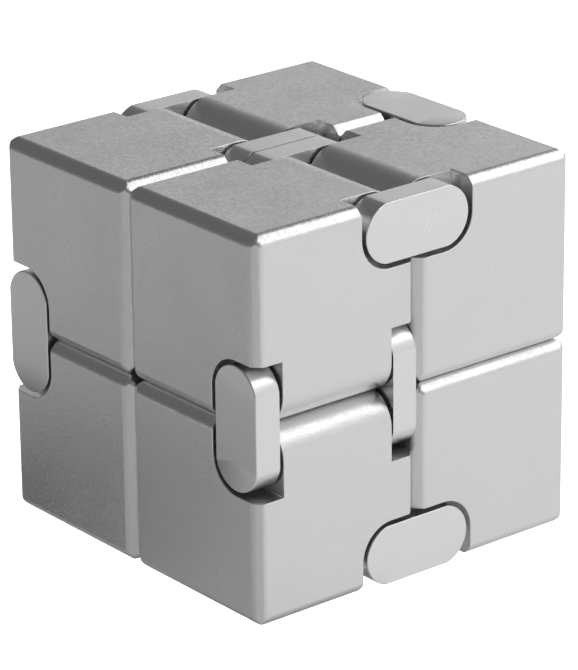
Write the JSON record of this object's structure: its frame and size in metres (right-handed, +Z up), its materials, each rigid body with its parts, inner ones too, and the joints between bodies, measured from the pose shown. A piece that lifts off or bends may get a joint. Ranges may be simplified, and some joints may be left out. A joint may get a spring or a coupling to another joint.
{
  "type": "folding fidget cube",
  "caption": "Pocket folding cube of solid metal blocks joined in a ring by double-pivot link plates, so it opens flat and folds back to a cube.",
  "frame": {"origin": "centre of the closed cube's bottom face, on the surface that it rests on", "axes": "+Z up; +X towards the half whose hinges stand upright; -Y is the front, so the left half's level hinges are at its front and back"},
  "size_m": [0.04, 0.04, 0.04],
  "materials": {
    "block": "satin bead-blasted, clear anodised",
    "link_plate": "satin milled, clear anodised",
    "pin": "ground dowel steel"
  },
  "bodies": {
    "block_left_front_bottom": {"block_left_front_bottom": "block"},
    "block_left_front_top": {"block_left_front_top": "block", "pin_front_upper": "pin"},
    "block_left_back_bottom": {"block_left_back_bottom": "block"},
    "block_left_back_top": {"block_left_back_top": "block"},
    "block_right_front_bottom": {"block_right_front_bottom": "block"},
    "block_right_front_top": {"block_right_front_top": "block"},
    "block_right_back_bottom": {"block_right_back_bottom": "block"},
    "block_right_back_top": {"block_right_back_top": "block"},
    "link_back": {"link_back_outer": "link_plate", "link_back_inner": "link_plate", "pin_back_lower": "pin", "pin_back_upper": "pin"},
    "link_top_back": {"link_top_back_outer": "link_plate", "link_top_back_inner": "link_plate", "pin_top_back_left": "pin", "pin_top_back_right": "pin"},
    "link_right_top": {"link_right_top_outer": "link_plate", "link_right_top_inner": "link_plate", "pin_right_top_back": "pin", "pin_right_top_front": "pin"},
    "link_top_front": {"link_top_front_outer": "link_plate", "link_top_front_inner": "link_plate", "pin_top_front_right": "pin", "pin_top_front_left": "pin"},
    "link_bottom_back": {"link_bottom_back_outer": "link_plate", "link_bottom_back_inner": "link_plate", "pin_bottom_back_left": "pin", "pin_bottom_back_right": "pin"},
    "link_right_bottom": {"link_right_bottom_outer": "link_plate", "link_right_bottom_inner": "link_plate", "pin_right_bottom_back": "pin", "pin_right_bottom_front": "pin"},
    "link_bottom_front": {"link_bottom_front_outer": "link_plate", "link_bottom_front_inner": "link_plate", "pin_bottom_front_right": "pin", "pin_bottom_front_left": "pin"},
    "link_front": {"link_front_outer": "link_plate", "link_front_inner": "link_plate", "pin_front_lower": "pin"}
  },
  "joints": [
    {"name": "level_fold", "type": "hinge", "parent": "block_left_back_bottom", "child": "link_back", "pos_m": [0, 0.01675, 0.01665], "axis": [-1, 0, 0], "range_deg": [0, 90]},
    {"name": "back_upper_pivot", "type": "hinge", "parent": "link_back", "child": "block_left_back_top", "pos_m": [0, 0.01675, 0.02335], "axis": [-1, 0, 0], "range_deg": [0, 90]},
    {"name": "top_fold", "type": "hinge", "parent": "block_left_back_top", "child": "link_top_back", "pos_m": [-0.00335, 0, 0.03675], "axis": [0, -1, 0], "range_deg": [0, 90]},
    {"name": "top_back_right_pivot", "type": "hinge", "parent": "link_top_back", "child": "block_right_back_top", "pos_m": [0.00335, 0, 0.03675], "axis": [0, -1, 0], "range_deg": [0, 90]},
    {"name": "book_fold", "type": "hinge", "parent": "block_right_back_top", "child": "link_right_top", "pos_m": [0.01675, 0.00335, 0.02], "axis": [0, 0, 1], "range_deg": [0, 90]},
    {"name": "right_top_front_pivot", "type": "hinge", "parent": "link_right_top", "child": "block_right_front_top", "pos_m": [0.01675, -0.00335, 0.02], "axis": [0, 0, 1], "range_deg": [0, 90]},
    {"name": "top_front_right_pivot", "type": "hinge", "parent": "block_right_front_top", "child": "link_top_front", "pos_m": [0.00335, 0, 0.03675], "axis": [0, 1, 0], "range_deg": [0, 90]},
    {"name": "top_front_left_pivot", "type": "hinge", "parent": "link_top_front", "child": "block_left_front_top", "pos_m": [-0.00335, 0, 0.03675], "axis": [0, 1, 0], "range_deg": [0, 90]},
    {"name": "bottom_fold", "type": "hinge", "parent": "block_left_back_bottom", "child": "link_bottom_back", "pos_m": [-0.00335, 0, 0.00325], "axis": [0, 1, 0], "range_deg": [0, 90]},
    {"name": "bottom_back_right_pivot", "type": "hinge", "parent": "link_bottom_back", "child": "block_right_back_bottom", "pos_m": [0.00335, 0, 0.00325], "axis": [0, 1, 0], "range_deg": [0, 90]},
    {"name": "right_bottom_back_pivot", "type": "hinge", "parent": "block_right_back_bottom", "child": "link_right_bottom", "pos_m": [0.01675, 0.00335, 0.02], "axis": [0, 0, 1], "range_deg": [0, 90]},
    {"name": "right_bottom_front_pivot", "type": "hinge", "parent": "link_right_bottom", "child": "block_right_front_bottom", "pos_m": [0.01675, -0.00335, 0.02], "axis": [0, 0, 1], "range_deg": [0, 90]},
    {"name": "bottom_front_right_pivot", "type": "hinge", "parent": "block_right_front_bottom", "child": "link_bottom_front", "pos_m": [0.00335, 0, 0.00325], "axis": [0, -1, 0], "range_deg": [0, 90]},
    {"name": "bottom_front_left_pivot", "type": "hinge", "parent": "link_bottom_front", "child": "block_left_front_bottom", "pos_m": [-0.00335, 0, 0.00325], "axis": [0, -1, 0], "range_deg": [0, 90]},
    {"name": "front_lower_pivot", "type": "hinge", "parent": "block_left_front_bottom", "child": "link_front", "pos_m": [0, -0.01675, 0.01665], "axis": [1, 0, 0], "range_deg": [0, 90]}
  ],
  "couplings": [
    {"joint": "back_upper_pivot", "follows": "level_fold", "ratio": 1},
    {"joint": "top_back_right_pivot", "follows": "top_fold", "ratio": 1},
    {"joint": "right_top_front_pivot", "follows": "book_fold", "ratio": 1},
    {"joint": "top_front_right_pivot", "follows": "top_fold", "ratio": 1},
    {"joint": "top_front_left_pivot", "follows": "top_fold", "ratio": 1},
    {"joint": "bottom_back_right_pivot", "follows": "bottom_fold", "ratio": 1},
    {"joint": "right_bottom_back_pivot", "follows": "book_fold", "ratio": 1},
    {"joint": "right_bottom_front_pivot", "follows": "book_fold", "ratio": 1},
    {"joint": "bottom_front_right_pivot", "follows": "bottom_fold", "ratio": 1},
    {"joint": "bottom_front_left_pivot", "follows": "bottom_fold", "ratio": 1},
    {"joint": "front_lower_pivot", "follows": "level_fold", "ratio": 1}
  ]
}
